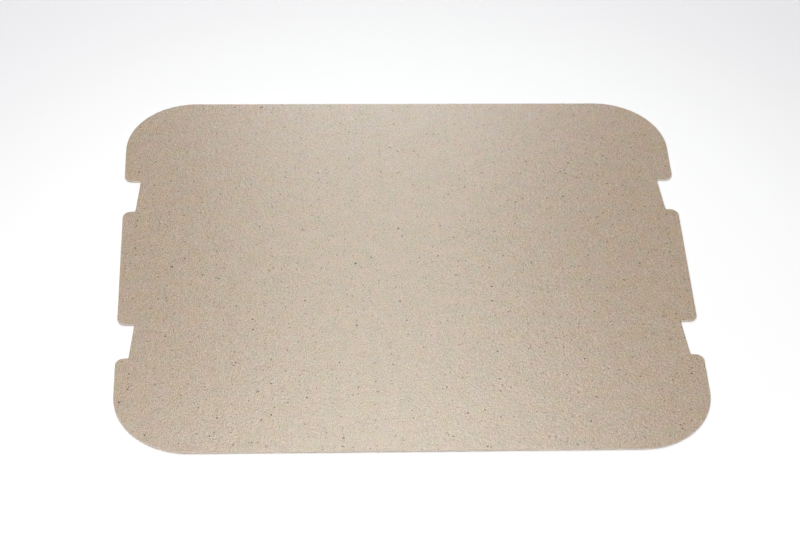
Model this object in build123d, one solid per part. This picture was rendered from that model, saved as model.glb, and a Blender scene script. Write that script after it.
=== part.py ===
from build123d import *
import os

# Mica plate for the inside wall of a microwave oven.
# One thin sheet of pressed mica board, punched out in one stroke, lying on its back face.
# Sizes are in millimetres. X runs along the length, +Y to the rear and +Z up from the back face.
# The origin is the middle of the back face, and the outline is mirrored about the X = 0 plane.

# The sheet
plate_length = 150.0
plate_width = 130.0
plate_thickness = 0.5
corner_radius = 19.2

# The notches, two in each end of the sheet, which the lugs of the oven wall pass through
notch_gap = 42.3             # along the end, between the two notches of a pair
notch_width = 11.9           # along the end, from flank to flank
notch_front_depth = 3.3      # at the flank nearer the front
notch_rear_depth = 4.4       # at the flank nearer the rear, so the floor of a notch is slanted
shoulder_radius = 2.3        # where a flank runs out into the end of the sheet
root_radius = 0.5            # where a flank meets the floor of the notch

# The punch rounds the upper edge a little and leaves the lower edge sharp
punched_edge_radius = 0.1

# How far the cutter of a notch reaches past the end of the sheet, and what counts as touching it
cutter_overrun = 1.0
touching = 0.001

half_length = plate_length / 2
notch_middle = (notch_gap + notch_width) / 2


def notch_cutter(end, middle):
    """The sharp-cornered form of one notch, in the end at +X (1) or -X (-1), about Y = middle."""
    front = middle - notch_width / 2
    rear = middle + notch_width / 2
    mouth = end * (half_length + cutter_overrun)
    corners = [
        (mouth, front),
        (end * (half_length - notch_front_depth), front),
        (end * (half_length - notch_rear_depth), rear),
        (mouth, rear),
    ]
    return make_face(Polyline(*corners, close=True))


def near_notches(vertex):
    """True for the corners of the notches, and not for the ends of the sheet's four big arcs."""
    return abs(vertex.Y) < notch_gap / 2 + notch_width + shoulder_radius / 2


def on_an_end(vertex):
    """True for a corner that lies on one of the two notched ends of the sheet."""
    return abs(abs(vertex.X) - half_length) < touching


def sheet_outline():
    """The flat outline of the sheet: four round corners, and notches with round shoulders."""
    outline = RectangleRounded(plate_length, plate_width, corner_radius)
    for end in (-1, 1):
        for middle in (-notch_middle, notch_middle):
            outline -= notch_cutter(end, middle)

    # A shoulder takes up no more of its flank than the rounded root leaves
    flank = min(notch_front_depth, notch_rear_depth) - 2 * root_radius
    shoulders = outline.vertices().filter_by(near_notches).filter_by(on_an_end)
    outline = fillet(shoulders, min(shoulder_radius, flank))

    deepest_shoulder = half_length - flank - root_radius
    roots = outline.vertices().filter_by(near_notches)
    roots = roots.filter_by(lambda vertex: abs(vertex.X) < deepest_shoulder)
    return fillet(roots, root_radius)


def mica_plate():
    """The sheet at its full thickness, with its punched upper edge rounded."""
    sheet = extrude(sheet_outline(), amount=plate_thickness)
    upper_edge = sheet.edges().group_by(Axis.Z)[-1]
    return fillet(upper_edge, punched_edge_radius)


plate = mica_plate()
os.makedirs("parts", exist_ok=True)
export_step(plate, "parts/mica_plate.step")
print("mica_plate", round(plate.volume, 2), "mm3", plate.bounding_box().size)
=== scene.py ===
# %% [markdown]
# A mica plate is the pale sheet that covers the wave outlet inside a microwave oven. It is
# punched out of pressed mica board: millions of tiny mica flakes, laid flat like paper and glued.
# The imported CAD part is loaded first, and everything below is built in its frame, in metres.
# The box of the CAD part is kept; the sizes of the sheet are read from it.

# %% Load the frame
import math

import bpy
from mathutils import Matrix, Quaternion, Vector, kdtree, noise
from mathutils.geometry import delaunay_2d_cdt


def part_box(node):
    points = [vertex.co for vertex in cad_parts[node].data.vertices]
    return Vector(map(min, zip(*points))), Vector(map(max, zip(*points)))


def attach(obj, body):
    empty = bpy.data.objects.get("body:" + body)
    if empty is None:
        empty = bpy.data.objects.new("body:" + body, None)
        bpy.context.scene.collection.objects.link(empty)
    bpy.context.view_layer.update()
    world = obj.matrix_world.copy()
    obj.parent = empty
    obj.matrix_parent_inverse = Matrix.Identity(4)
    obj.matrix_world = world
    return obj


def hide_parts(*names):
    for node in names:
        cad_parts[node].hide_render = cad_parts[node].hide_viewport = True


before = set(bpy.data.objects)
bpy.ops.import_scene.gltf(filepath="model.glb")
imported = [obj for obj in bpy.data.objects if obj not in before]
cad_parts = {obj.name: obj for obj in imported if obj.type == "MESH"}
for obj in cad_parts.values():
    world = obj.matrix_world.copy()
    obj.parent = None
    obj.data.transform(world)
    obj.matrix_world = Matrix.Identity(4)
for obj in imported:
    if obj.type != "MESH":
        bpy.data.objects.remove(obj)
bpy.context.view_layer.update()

# %% [markdown]
# A sheet like this is drawn as one flat outline. Its length, width and thickness are read from
# the CAD node, so they can't drift apart, and the round corners and the notches repeat the
# drawing's own values. Millimetres are easier to read here, and one factor turns them to metres.

# %% Sizes of the sheet, in millimetres
MM = 0.001
low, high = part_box("mica_plate")
length, width, thickness = [(b - a) / MM for a, b in zip(low, high)]

corner_radius = 19.2
notch_middle = 27.1
notch_width = 11.9
notch_front_depth = 3.3
notch_rear_depth = 4.4
shoulder_radius = 2.3
root_radius = 0.5
print("sheet, mm:", round(length, 2), round(width, 2), round(thickness, 3))

# %% [markdown]
# The outline could be traced as hundreds of points, but a punch maker draws sharp corners and
# gives each one a radius. That is done here too: each notched end is a short list of sharp
# corners with their radii, and the second end is the first one mirrored.

# %% Sharp corners and their radii
def end_corners(side):
    """The corners of the end at +X (1) or -X (-1), from the front to the rear, with their radii."""
    end = side * length / 2
    corners = [((end, -width / 2), corner_radius)]
    for middle in (-notch_middle, notch_middle):
        front = middle - notch_width / 2
        rear = middle + notch_width / 2
        corners += [
            ((end, front), shoulder_radius),
            ((end - side * notch_front_depth, front), root_radius),
            ((end - side * notch_rear_depth, rear), root_radius),
            ((end, rear), shoulder_radius),
        ]
    corners.append(((end, width / 2), corner_radius))
    return corners


corners = end_corners(1) + end_corners(-1)[::-1]
print("corners in the outline:", len(corners))

# %% [markdown]
# Now each corner becomes an arc that touches both of its sides. Every point also keeps its outward
# direction, because the edge of the sheet is built later by stepping in and out along it. A bevel
# modifier could round the corners as well, but here each one gets its own radius, and the points
# lie exactly on the arc.

# %% Round a corner
outline_step = 0.4
fewest_arc_steps = 6


def corner_arc(before, corner, after, radius):
    """Points and outward directions along the arc that rounds one corner, walking anticlockwise."""
    into = (Vector(corner) - Vector(before)).normalized()
    onward = (Vector(after) - Vector(corner)).normalized()
    turn = math.atan2(into.cross(onward), into.dot(onward))
    side = math.copysign(1.0, turn)
    outward = Vector((into.y, -into.x))
    start = Vector(corner) - into * radius * math.tan(abs(turn) / 2)
    centre = start - outward * radius * side
    steps = max(fewest_arc_steps, math.ceil(radius * abs(turn) / outline_step))
    arc = []
    for n in range(steps + 1):
        angle = turn * n / steps
        turned = Vector((
            outward.x * math.cos(angle) - outward.y * math.sin(angle),
            outward.x * math.sin(angle) + outward.y * math.cos(angle),
        ))
        arc.append((centre + turned * radius * side, turned))
    return arc


large_arc = corner_arc(corners[-1][0], corners[0][0], corners[1][0], corner_radius)
print("points round a large corner:", len(large_arc))

# %% [markdown]
# The arcs are joined by straight runs, which are divided evenly. The steps are about as long as on
# the arcs, because the torn edge and the shading need points on the straight sides too.

# %% Walk round the outline
def rounded_outline(corners):
    """The whole outline as (point, outward direction) pairs, with no point given twice."""
    arcs = []
    for n, (corner, radius) in enumerate(corners):
        after = corners[(n + 1) % len(corners)][0]
        arcs.append(corner_arc(corners[n - 1][0], corner, after, radius))
    outline = []
    for n, arc in enumerate(arcs):
        outline += arc
        start, outward = arc[-1]
        run = arcs[(n + 1) % len(arcs)][0][0] - start
        steps = max(1, math.ceil(run.length / outline_step))
        outline += [(start + run * k / steps, outward) for k in range(1, steps)]
    return outline


outline = rounded_outline(corners)
around = len(outline)
perimeter = sum((outline[n][0] - outline[n - 1][0]).length for n in range(around))
print("outline points:", around, "perimeter, mm:", round(perimeter, 1))

# %% [markdown]
# A punched edge has three zones, from the top down: a rolled lip where the punch bent the board,
# a clean sheared land, and a rough tear where the last layers broke away. Each row below says how
# far in from the outline it lies, how far under the top face, and how rough it is, from 0 to 1.
# Rough rows wander a little, as torn layers do, and a seeded noise makes that the same each run.

# %% Rows of the punched edge
flat_border = 0.22
lip_radius = 0.1
lip_steps = 3
land_row = (0.0, 0.24, 0.0)
tear_rows = [(0.014, 0.33, 0.6), (0.03, 0.42, 1.0), (0.018, thickness, 0.9)]
tear_wander = 0.016
tear_waves = (1.1, 0.37)
tear_change = 7.3           # how fast the wander changes from row to row

edge_rows = [(flat_border, 0.0, 0.0)]
for n in range(lip_steps + 1):
    angle = math.radians(90 * n / lip_steps)
    inset = lip_radius * (1 - math.sin(angle))
    drop = lip_radius * (1 - math.cos(angle))
    edge_rows.append((inset, drop, 0.0))
edge_rows += [land_row, *tear_rows]


def edge_point(n, inset, drop, roughness):
    """Point n of one row of the edge. Rough rows wander in and out, but never past the outline.

    The long wave wanders by the full amount, and the short one by half of it."""
    point, outward = outline[n]
    wander = 0.0
    for part, wave in enumerate(tear_waves, 1):
        place = Vector((point.x / wave, point.y / wave, tear_change * drop))
        wander += noise.noise(place) * tear_wander * roughness / part
    place = point - outward * max(0.0, inset + wander)
    return Vector((place.x, place.y, thickness - drop))


rows = [[edge_point(n, *row) for n in range(around)] for row in edge_rows]
print("edge rows:", len(rows), "of", around, "points")

# %% [markdown]
# The two faces could each be one huge polygon. A fine, even net of triangles is better: it can
# carry the very slight unevenness of pressed board, and it shades evenly. Points are laid out as
# in a honeycomb, and those too near the edge are left out. A tree of the outline's points finds
# the nearest one quickly.

# %% Lay a honeycomb of points inside the sheet
net_step = 1.2
net_border = 0.85

nearest = kdtree.KDTree(around)
for n, (point, _) in enumerate(outline):
    nearest.insert((point.x, point.y, 0.0), n)
nearest.balance()


def depth_inside(x, y):
    """How far a place lies inside the outline, in millimetres. It is negative outside."""
    n = nearest.find((x, y, 0.0))[1]
    point, outward = outline[n]
    return -(Vector((x, y)) - point).dot(outward)


def steps_across(span, step):
    """The counts of the steps that reach from one end of a span to the other, with 0 in its middle."""
    return range(math.floor(-span / 2 / step), math.ceil(span / 2 / step) + 1)


net = []
row_step = net_step * math.sqrt(3) / 2
for r in steps_across(width, row_step):
    shift = net_step / 2 if r % 2 else 0.0
    for c in steps_across(length, net_step):
        x = c * net_step + shift
        y = r * row_step
        depth = depth_inside(x, y)
        if depth > net_border:
            net.append((x, y, depth))
print("points inside:", len(net))

# %% [markdown]
# A Delaunay triangulation joins the honeycomb to the innermost row of the edge. It picks the joins
# that make the triangles as even as they can be, which is hard to do by hand along round corners.
# That row is given as a border, and only triangles inside it are kept.

# %% Join them to the edge
inside_only = 1
merge_distance = 1e-6

flat_points = [Vector((p.x, p.y)) for p in rows[0]] + [Vector((x, y)) for x, y, _ in net]
border = list(range(around))
joined = delaunay_2d_cdt(flat_points, [], [border], inside_only, merge_distance)
triangles = [tuple(face) for face in joined[2]]
if len(joined[0]) != len(flat_points):
    raise RuntimeError("the triangulation merged or added points")
print("triangles in a face:", len(triangles))

# %% [markdown]
# The mesh is put together like a shallow tray with a lid: edge rows, top face, back face. The top
# dips by a hundredth of a millimetre or two between its edges and never rises above the CAD face,
# and the back lies flat on the table.

# %% Points of the mesh
dip_depth = 0.02
dip_wave = 17.0
dip_fade = 8.0
dip_slice = 3.1             # which slice of the noise is used


def dip(x, y, depth):
    """How far the top face lies under its highest level at one place."""
    unevenness = 0.5 + 0.5 * noise.noise(Vector((x / dip_wave, y / dip_wave, dip_slice)))
    return dip_depth * unevenness * min(1.0, depth / dip_fade)


points = [p for row in rows for p in row]
last_row = (len(rows) - 1) * around
first_top = len(points)
points += [Vector((x, y, thickness - dip(x, y, depth))) for x, y, depth in net]
first_back = len(points)
points += [Vector((x, y, 0.0)) for x, y, _ in net]
print("mesh points:", len(points))

# %% [markdown]
# The net of triangles is used twice: for the top as it is, and for the back with its corners listed
# the other way round, because their order tells Blender which side is outside. Rings of four-cornered
# faces close the edge between the two.

# %% Faces of the mesh
def face_corners(triangle, first_edge, first_inside):
    """A triangle of the net, with its corners counted as points of the mesh."""
    return [first_edge + v if v < around else first_inside + v - around for v in triangle]


top_faces = [face_corners(t, 0, first_top) for t in triangles]
back_faces = [face_corners(t, last_row, first_back)[::-1] for t in triangles]
edge_faces = []
for upper in range(0, last_row, around):
    lower = upper + around
    for n in range(around):
        m = (n + 1) % around
        edge_faces.append((upper + n, lower + n, lower + m, upper + m))

mesh = bpy.data.meshes.new("mica_sheet")
mesh.from_pydata([p * MM for p in points], [], top_faces + edge_faces + back_faces)
print("mesh faces:", len(mesh.polygons))

# %% [markdown]
# Smooth shading suits the lip and the faces, but the lower rim is a crisp break, so its edges
# are marked sharp. The lip and the rows below it get the second material slot, for the cut. The
# flat border above the lip still belongs to the face.

# %% Shade it and sort its faces
border_rows = 1

mesh.shade_smooth()
sharp = mesh.attributes.new("sharp_edge", "BOOLEAN", "EDGE")
rim = range(last_row, last_row + around)
for edge in mesh.edges:
    a, b = edge.vertices
    sharp.data[edge.index].value = a in rim and b in rim

cut_from = len(top_faces) + border_rows * around
cut_to = len(top_faces) + len(edge_faces)
for polygon in mesh.polygons:
    polygon.material_index = 1 if cut_from <= polygon.index < cut_to else 0
sheet = bpy.data.objects.new("mica_sheet", mesh)
bpy.context.collection.objects.link(sheet)
print("faces of the cut:", cut_to - cut_from)

# %% [markdown]
# A UV map says where each face lies on a flat picture, for programs that bake the finish. Both
# faces of the sheet share one place on it, because the grain runs right through the board, and
# the edge is folded outwards round them. So almost the whole picture is spent on the grain.

# %% Fold the sheet flat
fold_margin = 1.0
fold_span = length + 2 * fold_margin

unfolded = [0.0]
for row, next_row in zip(edge_rows, edge_rows[1:]):
    unfolded.append(unfolded[-1] + math.dist(row[:2], next_row[:2]))


def on_the_fold(x, y):
    """A place on the flat picture, from 0 to 1."""
    return (x + length / 2 + fold_margin) / fold_span, (y + width / 2 + fold_margin) / fold_span


def fold_place(vertex, on_edge):
    """Where a mesh point lies on the picture. An edge face is folded outwards from the top face."""
    if on_edge and vertex < first_top:
        row, n = divmod(vertex, around)
        point, outward = outline[n]
        place = point + outward * (unfolded[row] - flat_border)
        return on_the_fold(place.x, place.y)
    return on_the_fold(points[vertex].x, points[vertex].y)


folded = mesh.uv_layers.new(name="OFBake")
places = []
for polygon in mesh.polygons:
    on_edge = len(top_faces) <= polygon.index < cut_to
    for vertex in polygon.vertices:
        places += fold_place(vertex, on_edge)
folded.data.foreach_set("uv", places)
print("folded edge, mm:", round(unfolded[-1], 3))

# %% [markdown]
# Materials are small networks of nodes. These helpers keep the networks short to read: one adds a
# node with its settings, one joins two sockets, two do sums on numbers and on vectors, and the
# last starts a material. A colour counts as a vector of red, green and blue.

# %% Helpers for node networks
def add_node(tree, kind, settings=None, values=None):
    """Adds a node, with its own settings and the values of its input sockets."""
    node = tree.nodes.new(kind)
    for name, value in (settings or {}).items():
        setattr(node, name, value)
    for name, value in (values or {}).items():
        node.inputs[name].default_value = value
    return node


def join(tree, source, target):
    """Feeds an output socket, or a plain value, into an input socket."""
    if isinstance(source, bpy.types.NodeSocket):
        tree.links.new(source, target)
    else:
        target.default_value = source


def sums(tree, operation, *terms, clamp=False):
    """One step of arithmetic. Each of its terms is an output socket or a plain number."""
    node = add_node(tree, "ShaderNodeMath", {"operation": operation, "use_clamp": clamp})
    for n, term in enumerate(terms):
        join(tree, term, node.inputs[n])
    return node.outputs["Value"]


def vector_sums(tree, operation, *terms):
    """The same for vectors. Each of its terms is an output socket or a plain vector."""
    node = add_node(tree, "ShaderNodeVectorMath", {"operation": operation})
    for n, term in enumerate(terms):
        join(tree, term, node.inputs[n])
    return node.outputs["Vector"]


def fresh_material(name):
    """A material that holds only its surface shader. Gives the material, its tree and that shader."""
    material = bpy.data.materials.new(name)
    material.use_nodes = True
    material.node_tree.nodes.clear()
    tree = material.node_tree
    surface = add_node(tree, "ShaderNodeBsdfPrincipled")
    output = add_node(tree, "ShaderNodeOutputMaterial")
    join(tree, surface.outputs["BSDF"], output.inputs["Surface"])
    return material, tree, surface


board, board_tree, board_surface = fresh_material("mica_board_face")
print("material:", board.name)

# %% [markdown]
# All patterns of the board are drawn in millimetres across the sheet. The depth is set to zero,
# so both faces show the same grain. The places are also pushed about a little by noise, which
# turns round cells into the ragged outlines that split mica has.

# %% Places on the board, in millimetres
ragged_scale = 2.4
ragged_detail = 2.0
ragged_reach = 0.24


def pattern(kind, dimensions, place, values):
    """A noise or Voronoi pattern at the given places. Its setting for the dimensions makes it flat."""
    node = add_node(board_tree, kind, {dimensions: "2D"}, values)
    join(board_tree, place, node.inputs["Vector"])
    return node


board_place = add_node(board_tree, "ShaderNodeTexCoord")
board_mm = vector_sums(board_tree, "MULTIPLY", board_place.outputs["Object"], (1 / MM, 1 / MM, 0.0))

push_values = {"Scale": ragged_scale, "Detail": ragged_detail}
push = pattern("ShaderNodeTexNoise", "noise_dimensions", board_mm, push_values)
reach = (ragged_reach, ragged_reach, 0.0)
half_back = (-ragged_reach / 2, -ragged_reach / 2, 0.0)
pushed_by = vector_sums(board_tree, "MULTIPLY_ADD", push.outputs["Color"], reach, half_back)
ragged_mm = vector_sums(board_tree, "ADD", board_mm, pushed_by)
print("nodes so far:", len(board_tree.nodes))

# %% [markdown]
# Seen close, the board is a mosaic of flakes, most of them a third of a millimetre wide. Voronoi
# cells give each flake its own random numbers, for its shade, its height and its polish. A finer
# noise stands for the crumbs between the flakes, which are laid on later, and a slow one for the
# faint clouds that come from uneven pulp.

# %% Shades of the flakes
flake_scale = 3.2
crumb_scale = 4.6
crumb_detail = 0.0
cloud_scale = 0.28
cloud_detail = 3.0


def board_noise(scale, detail, place, roughness=0.5):
    """Soft noise between 0 and 1, with 1/scale millimetres between its lumps."""
    values = {"Scale": scale, "Detail": detail, "Roughness": roughness}
    return pattern("ShaderNodeTexNoise", "noise_dimensions", place, values).outputs["Fac"]


def three_randoms(cells):
    """The three random numbers that each Voronoi cell carries in its colour."""
    split = add_node(board_tree, "ShaderNodeSeparateColor")
    join(board_tree, cells.outputs["Color"], split.inputs["Color"])
    return split.outputs["Red"], split.outputs["Green"], split.outputs["Blue"]


flakes = pattern("ShaderNodeTexVoronoi", "voronoi_dimensions", ragged_mm, {"Scale": flake_scale})
flake_tone, flake_height, flake_polish = three_randoms(flakes)
crumbs = board_noise(crumb_scale, crumb_detail, board_mm)
clouds = board_noise(cloud_scale, cloud_detail, board_mm)
print("nodes so far:", len(board_tree.nodes))

# %% [markdown]
# The shades are added up to one number about 1, which multiplies the colour later. Squaring the
# random number makes dark flakes rarer than pale ones. What the flakes and the clouds take away in
# one place they give in another, so the mean colour of the board stays the chosen one.

# %% Add the shades up
flake_contrast = 0.25
cloud_contrast = 0.15
mean_of_square = 1 / 3      # of a random number between 0 and 1


def about_zero(value, contrast):
    """Spreads a pattern that runs from 0 to 1 evenly about zero."""
    return sums(board_tree, "MULTIPLY_ADD", value, contrast, -contrast / 2)


darkness = sums(board_tree, "MULTIPLY", flake_tone, flake_tone)
palest = 1.0 + flake_contrast * mean_of_square
brightness = sums(board_tree, "MULTIPLY_ADD", darkness, -flake_contrast, palest)
brightness = sums(board_tree, "ADD", brightness, about_zero(clouds, cloud_contrast))
print("nodes so far:", len(board_tree.nodes))

# %% [markdown]
# Mica from different rock differs a little in hue: some of the pulp is greyer and greener, some
# pinker, and some is straw-coloured where other is clear. Two noises with lumps of four or five
# millimetres mix these hues, so that the board is mottled when seen close and one even beige from
# a step away.

# %% Hues of the pulp
grey_mica = (0.410, 0.329, 0.233, 1.0)
pink_mica = (0.442, 0.319, 0.236, 1.0)
straw_tint = (1.004, 1.0, 0.945, 1.0)
clear_tint = (0.996, 1.0, 1.055, 1.0)
mottle_scale = 0.26
tint_scale = 0.21
mottle_detail = 1.0
mottle_contrast = 2.6


def mix_colours(tree, share, first, second):
    """Mixes two colours, each an output socket or a plain colour. A share of 1 gives the second."""
    node = add_node(tree, "ShaderNodeMix", {"data_type": "RGBA", "blend_type": "MIX"})
    inputs = {socket.identifier: socket for socket in node.inputs}
    join(tree, first, inputs["A_Color"])
    join(tree, second, inputs["B_Color"])
    join(tree, share, inputs["Factor_Float"])
    return {socket.identifier: socket for socket in node.outputs}["Result_Color"]


def mottled_share(scale, place):
    """A share between 0 and 1 that changes slowly across the board."""
    mottle = about_zero(board_noise(scale, mottle_detail, place), mottle_contrast)
    return sums(board_tree, "ADD", mottle, 0.5, clamp=True)


hue = mix_colours(board_tree, mottled_share(mottle_scale, board_mm), grey_mica, pink_mica)
tint = mix_colours(board_tree, mottled_share(tint_scale, ragged_mm), straw_tint, clear_tint)
tinted = vector_sums(board_tree, "MULTIPLY", hue, tint)
print("nodes so far:", len(board_tree.nodes))

# %% [markdown]
# The shades of the flakes multiply the hue. The crumbs are added on top instead: they are dust of
# all shades, so they make a place paler or darker without making it more or less brown.

# %% Colour of the board
crumb_colour = (0.38, 0.34, 0.305)
crumb_contrast = 1.40

shaded = vector_sums(board_tree, "MULTIPLY", tinted, brightness)
dust = about_zero(crumbs, crumb_contrast)
board_colour = vector_sums(board_tree, "MULTIPLY_ADD", dust, crumb_colour, shaded)
print("nodes so far:", len(board_tree.nodes))

# %% [markdown]
# Dark flecks are bits of brown mica and of other rock that went into the pulp. Each one sits in a
# wide Voronoi cell. The cell's random number decides whether it holds a fleck and how large that
# is, and the distance to the cell's middle draws it. Drawing on the ragged places breaks the
# round outline, and stretching the places makes slivers.

# %% Scattered flecks
def flecks(scale, share, largest, soft, stretch=(1.0, 1.0), start=(0.0, 0.0)):
    """A mask of scattered flecks, in millimetres: 1 on a fleck, 0 on the bare board.

    There is one cell in each 1/scale millimetres, a share of the cells holds a fleck, and its
    radius goes up to the largest one. Its edge fades over the soft distance."""
    squeeze = (1 / stretch[0], 1 / stretch[1], 0.0)
    places = vector_sums(board_tree, "MULTIPLY_ADD", ragged_mm, squeeze, (*start, 0.0))
    cells = pattern("ShaderNodeTexVoronoi", "voronoi_dimensions", places, {"Scale": scale})
    chance = three_randoms(cells)[0]
    # The size runs up to the largest one, and it is below zero in a cell without a fleck
    size = sums(board_tree, "MULTIPLY_ADD", chance, largest / share, largest - largest / share)
    gap = sums(board_tree, "DIVIDE", cells.outputs["Distance"], scale)
    inside = sums(board_tree, "SUBTRACT", size, gap)
    return sums(board_tree, "DIVIDE", inside, soft, clamp=True)


tiny_flecks = flecks(scale=0.47, share=0.70, largest=0.255, soft=0.05, start=(71.0, 17.0))
small_flecks = flecks(scale=0.225, share=0.65, largest=0.295, soft=0.05)
large_flecks = flecks(
    scale=0.10, share=0.42, largest=0.345, soft=0.06, stretch=(1.2, 0.85), start=(31.0, 7.0)
)
stains = flecks(scale=0.085, share=0.30, largest=1.0, soft=1.0, start=(5.0, 53.0))
# Pale flecks: partly clear mica, partly painted glints (painted highlights) of the flakes
pale_mica_and_painted_glints = flecks(
    scale=0.25, share=0.30, largest=0.13, soft=0.10, stretch=(0.6, 1.7), start=(13.0, 29.0)
)
print("nodes so far:", len(board_tree.nodes))

# %% [markdown]
# The flecks are laid over the pulp one kind after the other: faint brown stains first, then pale
# slivers, which are partly clear mica and partly painted glints of the flakes, then the dark bits
# from the tiny to the large ones. Each kind has a cover, which is how much of the pulp it hides.
# None is quite black, because a thin skin of pulp lies over most of them.

# %% Lay the flecks over the pulp
fleck_layers = (
    (stains, 0.22, (0.27, 0.19, 0.115, 1.0)),
    # Pale slivers: partly clear mica, partly painted glints of the flakes
    (pale_mica_and_painted_glints, 0.45, (0.68, 0.58, 0.42, 1.0)),
    (tiny_flecks, 0.80, (0.12, 0.060, 0.026, 1.0)),
    (small_flecks, 0.92, (0.062, 0.036, 0.017, 1.0)),
    (large_flecks, 0.96, (0.035, 0.023, 0.014, 1.0)),
)
for mask, cover, colour in fleck_layers:
    share = sums(board_tree, "MULTIPLY", mask, cover)
    board_colour = mix_colours(board_tree, share, board_colour, colour)
join(board_tree, board_colour, board_surface.inputs["Base Color"])
print("nodes so far:", len(board_tree.nodes))

# %% [markdown]
# The board has a satin sheen, because its flakes lie flat. Some lie flatter than others, so every
# flake has its own polish, and the dark flecks are duller than the rest.

# %% Polish of the board
mica_ior = 1.56
smoothest = 0.18
polish_spread = 0.10
fleck_dullness = 0.45

polish = sums(board_tree, "MULTIPLY_ADD", flake_polish, polish_spread, smoothest)
dark_flecks = sums(board_tree, "MAXIMUM", small_flecks, large_flecks)
polish = sums(board_tree, "MULTIPLY_ADD", dark_flecks, fleck_dullness, polish)
join(board_tree, polish, board_surface.inputs["Roughness"])
board_surface.inputs["IOR"].default_value = mica_ior
print("nodes so far:", len(board_tree.nodes))

# %% [markdown]
# The pressed face rises and falls by a hundredth of a millimetre or two, and each flake lies a
# little higher or lower than the next. That is far too fine to model, so it goes to a bump node,
# with its height in millimetres.

# %% Relief of the board
relief_scale = 1.3
relief_detail = 1.0
relief_roughness = 0.75
relief_height = 0.032
flake_step = 0.002


def add_bump(tree, surface, height, distance):
    """Gives a surface a fine relief. The distance is how many metres a height of 1 stands for."""
    bump = add_node(tree, "ShaderNodeBump", values={"Strength": 1.0, "Distance": distance})
    join(tree, height, bump.inputs["Height"])
    join(tree, bump.outputs["Normal"], surface.inputs["Normal"])


waves = board_noise(relief_scale, relief_detail, board_mm, relief_roughness)
relief = sums(board_tree, "MULTIPLY", waves, relief_height)
relief = sums(board_tree, "MULTIPLY_ADD", flake_height, flake_step, relief)
add_bump(board_tree, board_surface, relief, MM)
sheet.data.materials.append(board)
print("nodes in the board's finish:", len(board_tree.nodes))

# %% [markdown]
# On the cut edge the board shows its build: hundreds of layers of flakes, like the side of a
# stack of paper. A noise that is squeezed in height and drawn out along the edge gives the
# layers. The punch breaks the flakes there, so the cut is a little paler, greyer and duller than
# the faces.

# %% Layers of the cut
layer_height = 0.06
layer_length = 2.2
layer_values = {"Scale": 1.0, "Detail": 4.0, "Roughness": 0.6}

cut, cut_tree, cut_surface = fresh_material("mica_board_cut")
cut_place = add_node(cut_tree, "ShaderNodeTexCoord")
per_layer = [1 / (MM * size) for size in (layer_length, layer_length, layer_height)]
in_layers = vector_sums(cut_tree, "MULTIPLY", cut_place.outputs["Object"], per_layer)
layer_noise = add_node(cut_tree, "ShaderNodeTexNoise", values=layer_values)
join(cut_tree, in_layers, layer_noise.inputs["Vector"])
layers = layer_noise.outputs["Fac"]
print("layers, mm:", layer_height, "high and", layer_length, "long")

# %% [markdown]
# One noise can drive the whole finish of the cut. A colour ramp turns it to brown and pale layers,
# and the same number makes the pale layers a little duller and lets them stand out a little.

# %% Finish of the cut
brown_layer = (0.445, 0.39, 0.325, 1.0)
pale_layer = (0.635, 0.595, 0.525, 1.0)
brown_up_to = 0.30
pale_from = 0.62
cut_smoothest = 0.50
cut_dullness_spread = 0.25
layer_relief = 0.012

layer_colours = add_node(cut_tree, "ShaderNodeValToRGB")
brown_end, pale_end = layer_colours.color_ramp.elements
brown_end.position = brown_up_to
brown_end.color = brown_layer
pale_end.position = pale_from
pale_end.color = pale_layer
join(cut_tree, layers, layer_colours.inputs["Fac"])
join(cut_tree, layer_colours.outputs["Color"], cut_surface.inputs["Base Color"])

cut_dullness = sums(cut_tree, "MULTIPLY_ADD", layers, cut_dullness_spread, cut_smoothest)
join(cut_tree, cut_dullness, cut_surface.inputs["Roughness"])
cut_surface.inputs["IOR"].default_value = mica_ior
add_bump(cut_tree, cut_surface, layers, MM * layer_relief)
sheet.data.materials.append(cut)
print("nodes in the cut's finish:", len(cut_tree.nodes))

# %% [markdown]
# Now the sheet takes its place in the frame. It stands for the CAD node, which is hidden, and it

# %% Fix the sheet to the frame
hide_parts("mica_plate")
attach(sheet, "root")
print("pieces:", sheet.name)

# %% [markdown]
# The sheet lies on a white table, in a soft pool of light. A round table, much wider than the
# picture, looks the same from all sides. A backdrop with a bend would do as well, but it would show
# its bend from other sides. The table lies a hair lower than the sheet's back face, because two
# faces at the same height would show specks. From here on, sizes and places are in metres.

# %% White table
table_radius = 4.0
table_sides = 96
table_gap = 0.00002

turns = [2 * math.pi * n / table_sides for n in range(table_sides)]
ring = [(table_radius * math.cos(a), table_radius * math.sin(a), 0.0) for a in turns]
table_mesh = bpy.data.meshes.new("white_table")
table_mesh.from_pydata(ring, [], [tuple(range(table_sides))])
table = bpy.data.objects.new("white_table", table_mesh)
table.location.z = -table_gap
bpy.context.collection.objects.link(table)
print("table, m across:", 2 * table_radius)

# %% [markdown]
# Near the sheet the table has plain white paint, which takes the light and the thin shadow. Further
# out a painted shade greys the table a little, where the light of the picture falls off. A smooth
# step over the distance does that without a visible line.

# %% Paint of the table
white_paint = (0.97, 0.97, 0.97, 1.0)
# Painted shade: this grey stands in for the light falling off further from the sheet
painted_shade_grey = (0.81, 0.79, 0.815, 1.0)
paint_roughness = 0.9
pool_middle = (0.005, -0.035, 0.0)
pool_from = 0.09
pool_to = 0.20

paint, paint_tree, paint_surface = fresh_material("white_table_paint")
paint_surface.inputs["Roughness"].default_value = paint_roughness
paint_surface.inputs["Specular IOR Level"].default_value = 0.0


def smooth_step(tree, value, start, end):
    """Runs smoothly from 0 at the start to 1 at the end."""
    node = add_node(tree, "ShaderNodeMapRange", {"interpolation_type": "SMOOTHSTEP"})
    node.inputs["From Min"].default_value = start
    node.inputs["From Max"].default_value = end
    join(tree, value, node.inputs["Value"])
    return node.outputs["Result"]


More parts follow.
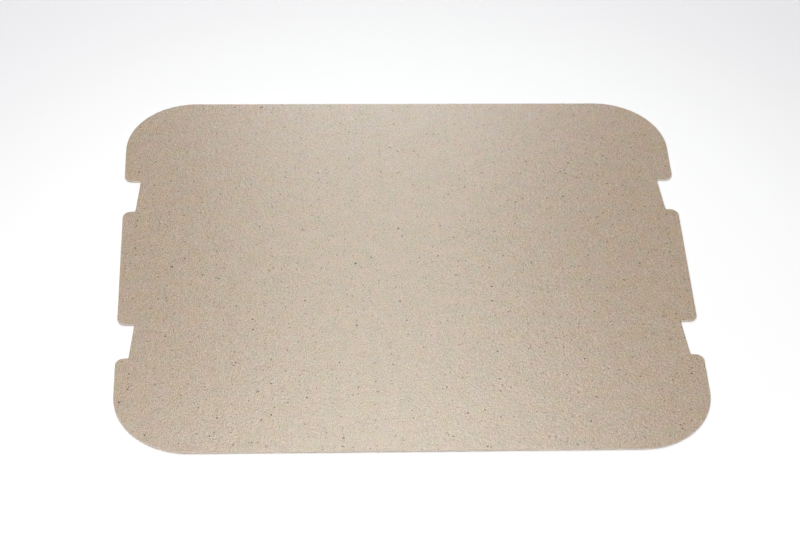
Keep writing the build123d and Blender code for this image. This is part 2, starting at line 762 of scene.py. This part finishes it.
paint_place = add_node(paint_tree, "ShaderNodeTexCoord")
from_pool = add_node(paint_tree, "ShaderNodeVectorMath", {"operation": "DISTANCE"})
from_pool.inputs[1].default_value = pool_middle
join(paint_tree, paint_place.outputs["Object"], from_pool.inputs[0])
far_out = from_pool.outputs["Value"]
# Share of the painted shade, growing with the distance from the pool of light
painted_shade_share = smooth_step(paint_tree, far_out, pool_from, pool_to)
paint_colour = mix_colours(paint_tree, painted_shade_share, white_paint, painted_shade_grey)
join(paint_tree, paint_colour, paint_surface.inputs["Base Color"])
table_mesh.materials.append(paint)
print("pool of light, m across:", 2 * pool_from, "to", 2 * pool_to)

# %% [markdown]
# White paint under plain light still falls a little short of white in the picture. A faint glow makes
# up for that. Only the camera and reflections see it: the light that the table throws about still
# comes from the paint alone.

# %% Glow of the table
glow_strength = 0.045


def seen_directly(tree):
    """1 for a ray that comes from the camera, a reflection or a clear body, and 0 for the others."""
    path = add_node(tree, "ShaderNodeLightPath")
    mirrored = sums(tree, "MAXIMUM", path.outputs["Is Glossy Ray"], path.outputs["Is Transmission Ray"])
    return sums(tree, "MAXIMUM", path.outputs["Is Camera Ray"], mirrored)


direct = seen_directly(paint_tree)
glow = add_node(paint_tree, "ShaderNodeEmission")
join(paint_tree, sums(paint_tree, "MULTIPLY", direct, glow_strength), glow.inputs["Strength"])
glowing = add_node(paint_tree, "ShaderNodeAddShader")
join(paint_tree, paint_surface.outputs["BSDF"], glowing.inputs[0])
join(paint_tree, glow.outputs["Emission"], glowing.inputs[1])
print("glow of the table:", glow_strength)

# %% [markdown]
# Far from the sheet the table turns into one even pale tone, again only for the camera and in
# reflections. So it has no visible end, and it meets the room behind it without a line.

# %% Even tone further out
even_tone = 0.83
even_from = 0.17
even_to = 0.40

even_reach = smooth_step(paint_tree, far_out, even_from, even_to)
even_share = sums(paint_tree, "MULTIPLY", even_reach, direct)
even_light = add_node(paint_tree, "ShaderNodeEmission", values={"Strength": even_tone})
blend = add_node(paint_tree, "ShaderNodeMixShader")
join(paint_tree, even_share, blend.inputs["Fac"])
join(paint_tree, glowing.outputs["Shader"], blend.inputs[1])
join(paint_tree, even_light.outputs["Emission"], blend.inputs[2])
paint_output = paint_tree.nodes["Material Output"]
join(paint_tree, blend.outputs["Shader"], paint_output.inputs["Surface"])
print("nodes in the table's paint:", len(paint_tree.nodes))

# %% [markdown]
# The room round the table gives a little even light. Low down it has the table's even tone for the
# camera and in reflections, as a pale sweep behind a product does, and it grows dark towards the
# ceiling.

# %% Room
white_light = (1.0, 1.0, 1.0, 1.0)
ambient = 0.10
sweep_top = 0.48            # both heights are sines of the angle above the horizon
ceiling_from = 0.62

room = bpy.data.worlds.new("room")
bpy.context.scene.world = room
room.use_nodes = True
room_tree = room.node_tree
room_tree.nodes.clear()
room_light = add_node(room_tree, "ShaderNodeBackground", values={"Color": white_light})
room_output = add_node(room_tree, "ShaderNodeOutputWorld")
join(room_tree, room_light.outputs["Background"], room_output.inputs["Surface"])

room_way = add_node(room_tree, "ShaderNodeTexCoord")
room_split = add_node(room_tree, "ShaderNodeSeparateXYZ")
join(room_tree, room_way.outputs["Generated"], room_split.inputs["Vector"])
sweep = smooth_step(room_tree, room_split.outputs["Z"], ceiling_from, sweep_top)
pale_share = sums(room_tree, "MULTIPLY", sweep, seen_directly(room_tree))
room_strength = sums(room_tree, "MULTIPLY_ADD", pale_share, even_tone - ambient, ambient)
join(room_tree, room_strength, room_light.inputs["Strength"])
print("even light of the room:", ambient)

# %% [markdown]
# The light in the picture shows in the sheen: a broad pale band runs down the middle of the sheet.
# A flat glossy thing mirrors what stands behind it, so the band is the mirror image of a tall, slim
# soft light behind the sheet. An area lamp gives such a light, and its shape shows in the sheen. A
# helper places a lamp by its direction, as one would walk round a table with a stand.

# %% Tall light behind
lamp_distance = 0.8


def softbox(name, turn, height, size, power, colour):
    """A soft rectangular lamp that faces the sheet, hidden from the camera.

    The turn is 0 in front of the sheet and 90 at its right, the height is its angle above the
    table, both in degrees. The size is in metres, the power in watts, and the colour is the share
    of that power in red, green and blue."""
    around_sheet = math.radians(turn)
    above = math.radians(height)
    away = Vector((
        math.sin(around_sheet) * math.cos(above),
        -math.cos(around_sheet) * math.cos(above),
        math.sin(above),
    ))
    lamp = bpy.data.lights.new(name, "AREA")
    lamp.shape = "RECTANGLE"
    lamp.size, lamp.size_y = size
    lamp.energy = power
    lamp.color = colour
    holder = bpy.data.objects.new(name, lamp)
    holder.location = away * lamp_distance
    holder.rotation_euler = (-away).to_track_quat("-Z", "Y").to_euler()
    holder.visible_camera = False
    bpy.context.collection.objects.link(holder)
    print(name, "at, m:", [round(v, 3) for v in holder.location], "power, W:", power)


softbox(
    "tall_light_behind",
    turn=177.3, height=56.6, size=(0.165, 1.0), power=1.70, colour=(0.90, 1.0, 0.92),
)

# %% [markdown]
# A wide light beside the tall one brightens the near side, a small low one the far side, and a broad
# one in front gives most of the even light. Real lamps are never quite the same white: the tall one
# is a trace greener, the low one bluer and the broad one pinker. Together they are neutral, and their
# power is set so that the white table comes out just white.

# %% Other lights
softbox(
    "wide_light_behind",
    turn=198.0, height=59.1, size=(0.67, 0.17), power=1.82, colour=(0.98, 1.0, 0.96),
)
softbox(
    "low_light_behind",
    turn=177.0, height=30.0, size=(0.25, 0.12), power=0.56, colour=(0.72, 0.74, 1.0),
)
softbox(
    "broad_light_in_front",
    turn=-11.0, height=48.0, size=(0.74, 0.30), power=4.90, colour=(1.0, 0.958, 0.98),
)

# %% [markdown]
# The camera looks down on the sheet at 44 degrees, from two thirds of a metre away. Its place, lens
# and tilt were worked out from the four corners and the notches of the sheet in the picture. A long
# lens keeps the far edge almost as long as the near one.

# %% Camera
lens = 112.969
sensor_width = 36.0
eye = Vector((-37.067, -471.502, 464.408)) * MM
look = Vector((0.053774, 0.711414, -0.700713))
tilt = 2.6937

camera_data = bpy.data.cameras.new("camera")
camera_data.lens = lens
camera_data.sensor_width = sensor_width
camera = bpy.data.objects.new("camera", camera_data)
camera.location = eye
camera.rotation_mode = "QUATERNION"
camera_tilt = Quaternion((0.0, 0.0, 1.0), math.radians(tilt))
camera.rotation_quaternion = look.to_track_quat("-Z", "Y") @ camera_tilt
bpy.context.collection.objects.link(camera)
bpy.context.scene.camera = camera
bpy.context.scene.view_settings.view_transform = "Standard"
print("camera to the middle of the sheet, mm:", round(eye.length / MM, 1))
